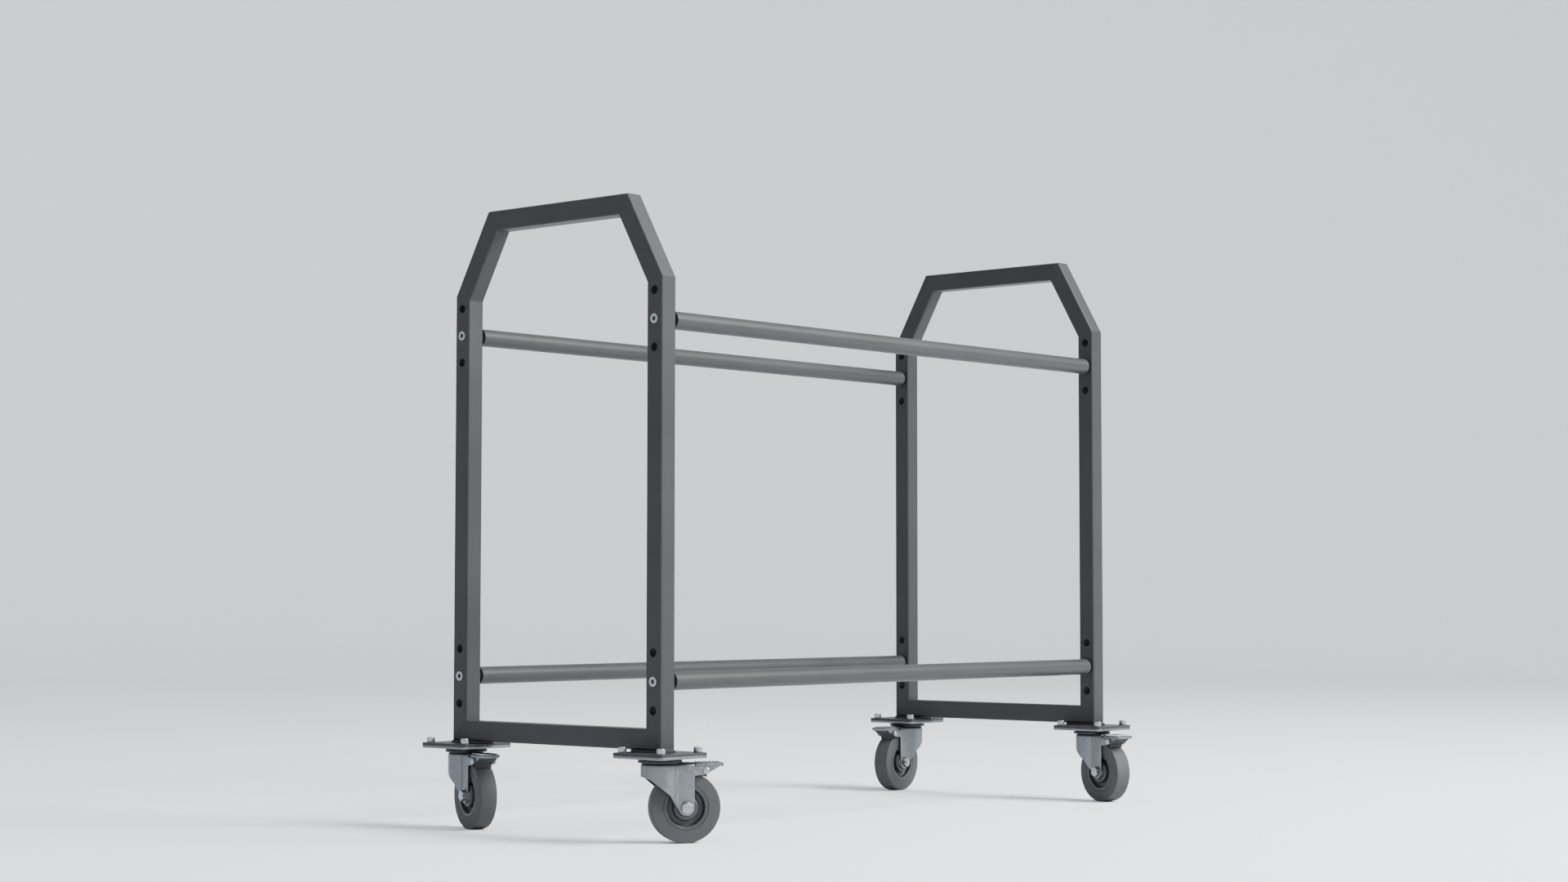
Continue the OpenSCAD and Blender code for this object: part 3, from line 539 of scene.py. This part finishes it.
def makePedal(caster):
    p = pedalSizes
    front = caster["trail"] + p["legEndR"] + p["frontGap"]
    tip = caster["pivotX"] + p["reach"]
    pivotX, pivotZ = caster["pivotX"], caster["pivotZ"]
    under = pivotZ + p["rise"]
    top, half, bend, sheet = under + p["sheet"], p["halfWidth"], p["bend"], p["sheet"]
    x = np.linspace(front, tip, 131)

    # foot of the flanges: from the front down to the pivot's round, along it, and up to the tip. The strip at
    # the front has no flanges.
    earR, flangeStart, noFlange = p["earR"], front + p["frontStrip"], under - p["footDrop"]
    straight = np.interp(x, [flangeStart, pivotX, pivotX + earR, tip - p["setback"], tip],
                         [pivotZ + earR / 2, pivotZ - earR, pivotZ - earR / 2, under - p["tipDepth"], noFlange])
    roundPart = pivotZ - np.sqrt(np.maximum(0, earR ** 2 - (x - pivotX) ** 2))
    foot = np.where(np.abs(x - pivotX) < earR, np.minimum(straight, roundPart), straight)
    foot = np.where(x < flangeStart, noFlange, foot)

    # ribs: half circles that fade out short of the sides
    halfPitch = p["ribPitch"] / 2
    place = (x - front + halfPitch) % p["ribPitch"] - halfPitch
    between = (x > front + halfPitch) & (x < tip - halfPitch)
    rib = np.where(between, np.sqrt(np.maximum(0, p["ribR"] ** 2 - place ** 2)), 0)
    y = np.linspace(-half + bend, half - bend, 23)
    fade = np.clip((half - p["ribSetback"] - np.abs(y)) / p["ribFade"], 0, 1)

    # cross-sections: the outer line over the top and the inner line back under it
    quarterTurn = np.radians(np.linspace(0, 90, 6))
    bendY, bendZ = half - bend + bend * np.cos(quarterTurn), top - bend + bend * np.sin(quarterTurn)
    innerR = bend - sheet
    innerY, innerZ = half - bend + innerR * np.cos(quarterTurn), top - bend + innerR * np.sin(quarterTurn)
    columns = np.ones_like(x)[:, None]
    outerZ = np.hstack([foot[:, None], bendZ * columns, top + rib[:, None] * fade[None, :], bendZ[::-1] * columns,
                        foot[:, None]])
    outerY = np.hstack([[half], bendY, y[::-1], -bendY[::-1], [-half]])
    innerYs = np.hstack([[half - sheet], innerY, y[::-1], -innerY[::-1], [sheet - half]])
    innerZs = np.hstack([foot[:, None], innerZ * columns, np.full((len(x), len(y)), under),
                         innerZ[::-1] * columns, foot[:, None]])
    outerZ = np.maximum(outerZ, foot[:, None])
    innerZs = np.maximum(innerZs, foot[:, None])
    sections = np.concatenate([
        np.stack([x[:, None] + 0 * outerZ, outerY + 0 * outerZ, outerZ], axis=-1),
        np.stack([x[:, None] + 0 * innerZs, innerYs + 0 * innerZs, innerZs], axis=-1)[:, ::-1]], axis=1)
    count = len(outerY)
    ends = [(np.stack([row[:count], row[count:][::-1]]), False, False) for row in (sections[0], sections[-1])]

    # the lip turned down at the tip, a slab stood on edge
    drop = p["lipDrop"]
    (lipGrid, *wraps), lipLow, lipHigh = slab(2 * half, p["lip"] + sheet - drop, p["lipCornerR"], 0, sheet,
                                              p["edge"])
    centreZ = under + (sheet - p["lip"]) / 2 - drop / 2
    stand = [np.stack([tip - sheet + g[..., 2], g[..., 0], centreZ + g[..., 1]], axis=-1)
             for g in (lipGrid, lipLow, lipHigh)]
    grids = [(sections, False, True), *ends, (stand[0], *wraps)]
    pedal = makePiece(f"brake_pedal_{caster['corner']}", [(atCaster(g, caster), a, b) for g, a, b in grids],
                      [atCaster(outline, caster) for outline in stand[1:]])
    settle(pedal, f"{caster['corner']}_pedal", "pedal_zinc", f"{caster['corner']}_brake_pedal")


for caster in casters:
    makePedal(caster)
print("pedals made")


# Corner plates: square slabs with rounded corners, and under the caster's plate a turned race with a round
# lower edge
plateSizes = dict(side=125, cornerR=10, edge=0.6, raceR=34, raceRound=1.2, raceBreak=0.4, raceFlare=1.0,
                  raceSink=0.05)
cornerPlaces = [caster["centre"] for caster in casters]


def makePlates():
    p = plateSizes
    low, high = (v.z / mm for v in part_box("adapter_plates"))
    raceLow, plateTop = (v.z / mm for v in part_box("caster_plates"))
    plateLow = plateTop - (high - low)
    for name, bottom, top, slotName in (("adapter_plates", low, high, "frame_paint"),
                                        ("caster_plates", plateLow, plateTop, "zinc_plate")):
        grids, outlines = [], []
        for place in cornerPlaces:
            side, under, over = slab(p["side"], p["side"], p["cornerR"], bottom, top, p["edge"], place)
            grids.append(side)
            outlines += [under, over]
        if name == "caster_plates":
            r, seam = p["raceR"], plateLow + p["raceSink"]
            race = turned([(0, raceLow), (r - p["raceRound"], raceLow),
                           (r - p["raceBreak"], raceLow + p["raceBreak"]), (r, raceLow + p["raceRound"]),
                           (r + p["raceFlare"], seam), (0, seam)], steps=96)
            grids += copies(race, [(*place, 0) for place in cornerPlaces])
        piece = makePiece(f"rounded_{name}", grids, outlines)
        settle(piece, "rack", slotName, name)


# Pads under the frame's feet, slabs from the frame's end inwards
padSizes = dict(cornerR=7, setback=6, edge=0.5)


def makePads():
    p = padSizes
    lowest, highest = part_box("foot_pads")
    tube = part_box("left_base_rail")
    width = (tube[1].x - tube[0].x) / mm + 2 * (tube[0].x - lowest.x) / mm
    end = highest.y / mm
    length = end - abs(cornerPlaces[0][1]) + plateSizes["side"] / 2 - p["setback"]
    grids, outlines = [], []
    for x, y in cornerPlaces:
        middle = (x, np.sign(y) * (end - length / 2))
        side, under, over = slab(width, length, p["cornerR"], lowest.z / mm, highest.z / mm, p["edge"], middle)
        grids.append(side)
        outlines += [under, over]
    settle(makePiece("welded_foot_pads", grids, outlines), "rack", "frame_paint", "foot_pads")


# Socket cap screws, a turned profile: a knurled head with a chamfered foot and rim and a hexagon socket with a
# drill point. The foot and rim are rows of (inset from the head's radius, distance from the seat or the top).
plateScrew = dict(reach=48, threadR=5, tipChamfer=0.6, headR=8, headHeight=10,
                  headFoot=((0.4, 0), (0.2, 0.4), (0, 0.7)),
                  headRim=((0, 1.8), (0.2, 1.4), (0.25, 0.8), (0.5, 0.3), (1.0, 0)), knurlDepth=0.22,
                  socketFlats=8, socketDepth=5.0, sinkReach=1.2, sinkDepth=0.5, drillDepth=6.2)


def makePlateScrews():
    p = plateScrew
    tip, top = (v.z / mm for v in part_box("plate_screws"))
    seat, r, head, socket = top - p["headHeight"], p["threadR"], p["headR"], p["socketFlats"] / 2
    rows = [(0, tip), (r - p["tipChamfer"], tip), (r, tip + p["tipChamfer"]), (r, seat),
            *[(head - inset, seat + rise) for inset, rise in p["headFoot"]],
            *[(head - inset, top - drop) for inset, drop in p["headRim"]],
            (socket * p["sinkReach"], top), (socket, top - p["sinkDepth"], 1, inf),
            (socket, top - p["socketDepth"], 1, inf), (0, top - p["drillDepth"])]
    screw = turned(rows, steps=120, knurl=p["knurlDepth"])
    ways = (-p["reach"], p["reach"])
    places = [(x + dx, y + dy, 0) for x, y in cornerPlaces for dx in ways for dy in ways]
    piece = makePiece("socket_cap_screws", copies(screw, places), sharpAngle=32)
    settle(piece, "rack", "zinc_bolt", "plate_screws")


makePlates()
makePads()
makePlateScrews()
print("plates, pads and screws made")


# Rail bolts: thread, shoulder and a thin flat head with a rounded rim and a hexagon socket
railBolt = dict(threadR=6, grip=22, tipChamfer=1, shoulderR=7.95, headR=9, headHeight=1.5,
                headRim=((0, 0.8), (0.2, 0.3), (0.8, 0)), socketFlats=8, socketDepth=7, sinkReach=1.22,
                sinkDepth=0.5, drillPoint=1)


def makeRailBolts():
    b = railBolt
    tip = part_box("rail_end_plugs")[1].x / mm - b["grip"]
    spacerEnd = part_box("rail_spacers")[1].x / mm
    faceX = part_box("right_front_upright")[1].x / mm
    r, shoulderR, headR, chamfer = b["threadR"], b["shoulderR"], b["headR"], b["tipChamfer"]
    socket, head = b["socketFlats"] / 2, faceX + b["headHeight"]
    floor = head - b["socketDepth"]
    rows = [(0, tip), (r - chamfer, tip), (r, tip + chamfer), (r, spacerEnd), (shoulderR, spacerEnd),
            (shoulderR, faceX), (headR, faceX), *[(headR - inset, head - drop) for inset, drop in b["headRim"]],
            (socket * b["sinkReach"], head), (socket, head - b["sinkDepth"], 1, inf), (socket, floor, 1, inf),
            (0, floor - b["drillPoint"])]
    bolt = turned(rows)
    out = np.stack([bolt[..., 2], bolt[..., 0], bolt[..., 1]], axis=-1)
    heights = []
    for level in ("upper", "lower"):
        railLow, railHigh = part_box(f"{level}_front_rail")
        heights.append((railLow.z + railHigh.z) / 2 / mm)
    depths = sorted({place[1] for place in cornerPlaces})
    grids = [(out * (side, 1, 1) + np.array([0, y, z]), True, False)
             for side in (-1, 1) for y in depths for z in heights]
    piece = makePiece("rail_shoulder_bolts", grids, sharpAngle=32)
    settle(piece, "rack", "zinc_bolt", "rail_bolts")


makeRailBolts()
print("rail bolts made")


# Weld seams at the mitres: a small round bead with ripples follows the mitre's rounded rectangle. It is
# ground flush on the outer side and stands a little proud on the flat sides and in the inner corner.
weldSizes = dict(beadR=1.9, proud=0.5, flush=0.3, cornerR=4.5, rippleMm=3.2, rippleDepth=0.14, ripplePoints=6,
                 roundPoints=10)


# The six corners of an end frame's outer side, from its foot round over the top
def frameOutline(end):
    base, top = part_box(f"{end}_base_rail"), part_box(f"{end}_top_rail")
    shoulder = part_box(f"{end}_front_upright")[1].z / mm
    y, z = base[1].y / mm, base[0].z / mm
    topY, topZ = top[1].y / mm, top[1].z / mm
    return np.array([[-y, z], [y, z], [y, shoulder], [topY, topZ], [-topY, topZ], [-y, shoulder]])


def makeWelds(end):
    w = weldSizes
    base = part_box(f"{end}_base_rail")
    middleX, size = (base[0].x + base[1].x) / 2 / mm, (base[1].x - base[0].x) / mm
    outline = frameOutline(end)
    ahead = np.roll(outline, -1, axis=0) - outline
    ahead /= np.linalg.norm(ahead, axis=1)[:, None]
    inward = np.column_stack([-ahead[:, 1], ahead[:, 0]])
    before = np.roll(inward, 1, axis=0)
    mitres = size * (before + inward) / (1 + (before * inward).sum(1))[:, None]
    sink = w["beadR"] - w["proud"]
    grids = []
    for corner, mitre in zip(outline, mitres):
        long = np.linalg.norm(mitre)
        along = mitre / long
        low, high = w["beadR"] + w["flush"], long - sink
        loop = roundedOutline(size - 2 * sink, high - low, w["cornerR"], steps=10)
        closed = np.vstack([loop, loop[:1]])
        run = np.concatenate([[0], np.cumsum(np.linalg.norm(np.diff(closed, axis=0), axis=1))])
        ripples = int(run[-1] / w["rippleMm"])
        s = np.linspace(0, run[-1], ripples * w["ripplePoints"], endpoint=False)
        path = np.column_stack([np.interp(s, run, closed[:, 0]), np.interp(s, run, closed[:, 1])])
        tangent = np.roll(path, -1, axis=0) - np.roll(path, 1, axis=0)
        tangent /= np.linalg.norm(tangent, axis=1)[:, None]
        normal = np.column_stack([tangent[:, 1], -tangent[:, 0]])
        phi = np.linspace(0, 2 * pi, w["roundPoints"], endpoint=False)
        r = w["beadR"] - w["rippleDepth"] * (0.5 + 0.5 * np.cos(2 * pi * s * ripples / run[-1]))[:, None]
        flat = path[:, None, :] + normal[:, None, :] * (r * np.cos(phi))[..., None]
        x = middleX + flat[..., 0]
        depth = (low + high) / 2 + flat[..., 1]
        across = np.array([along[1], -along[0]])
        yz = corner + depth[..., None] * along + (r * np.sin(phi))[..., None] * across
        grids.append((np.concatenate([x[..., None], yz], axis=-1), True, True))
    settle(makePiece(f"weld_seams_{end}", grids, sharpAngle=60), "rack", "frame_paint")


for end in ("left", "right"):
    makeWelds(end)
print("weld seams made")


# Studio: a round pale bowl with a flat floor, a soft key from the front right, a weak fill and a pale sky
studio = dict(floorR=9.0, bend=3.5, wall=5.0, floorHex="#dfe1e4", floorShadeHex="#dcdee1", shadesPerMetre=3.0,
              floorRoughness=0.85, floorSpecular=0.15, skyHex="#dfe2e6", skyStrength=1.6, keyPower=2000,
              keySize=3.2, keyPlace=(2.2, -5.2, 4.6), fillPower=60, fillSize=4.0, fillPlace=(-5.5, -2.5, 3.2))


def makeStudio():
    s = studio
    steps = np.linspace(0, pi / 2, 24)
    rows = [(0.0, 0.0), (s["floorR"] * 0.5, 0.0), (s["floorR"], 0.0),
            *[(s["floorR"] + s["bend"] * sin(t), s["bend"] * (1 - cos(t))) for t in steps[1:]],
            (s["floorR"] + s["bend"], s["bend"] + s["wall"])]
    bowl = makePiece("studio_bowl", [(turned(rows, steps=96) / mm, True, False)])
    finish, tree, shader = newFinish("matt_paper_floor", {"Roughness": s["floorRoughness"],
                                                          "Specular IOR Level": s["floorSpecular"]})
    place = addNode(tree, "ShaderNodeTexCoord").outputs["Object"]
    shade = addNode(tree, "ShaderNodeTexNoise", {"Scale": s["shadesPerMetre"], "Detail": 2.0}, {"Vector": place})
    tone = addNode(tree, "ShaderNodeMix", {"A": linear(s["floorHex"]), "B": linear(s["floorShadeHex"])},
                   data_type="RGBA")
    tree.links.new(shade.outputs["Fac"], tone.inputs["Factor"])
    tree.links.new(tone.outputs["Result"], shader.inputs["Base Color"])
    bowl.data.materials.append(finish)
    sky = bpy.data.worlds.new("pale_sky")
    bpy.context.scene.world = sky
    sky.use_nodes = True
    background = sky.node_tree.nodes["Background"]
    background.inputs["Color"].default_value = linear(s["skyHex"])
    background.inputs["Strength"].default_value = s["skyStrength"]
    for name, power, size, spot in (("key", s["keyPower"], s["keySize"], s["keyPlace"]),
                                    ("fill", s["fillPower"], s["fillSize"], s["fillPlace"])):
        lamp = bpy.data.lights.new(name, "AREA")
        lamp.energy, lamp.size = power, size
        holder = bpy.data.objects.new(name, lamp)
        holder.location = spot
        holder.rotation_euler = (-holder.location).to_track_quat("-Z", "Y").to_euler()
        bpy.context.scene.collection.objects.link(holder)


# Camera: low, in front of the rack's left end, with a short telephoto lens. Its place is in metres and its
# turn in degrees.
cameraSizes = dict(place=(-4.19525, -3.59839, 0.44514), turn=(93.2695, -0.0393, -49.0619), lens=61.694,
                   sensor=36.0)


def makeCamera():
    c = cameraSizes
    data = bpy.data.cameras.new("camera")
    data.lens, data.sensor_width = c["lens"], c["sensor"]
    camera = bpy.data.objects.new("camera", data)
    camera.location = c["place"]
    camera.rotation_euler = [radians(angle) for angle in c["turn"]]
    bpy.context.scene.collection.objects.link(camera)
    bpy.context.scene.camera = camera


makeStudio()
makeCamera()
print("studio and camera made")
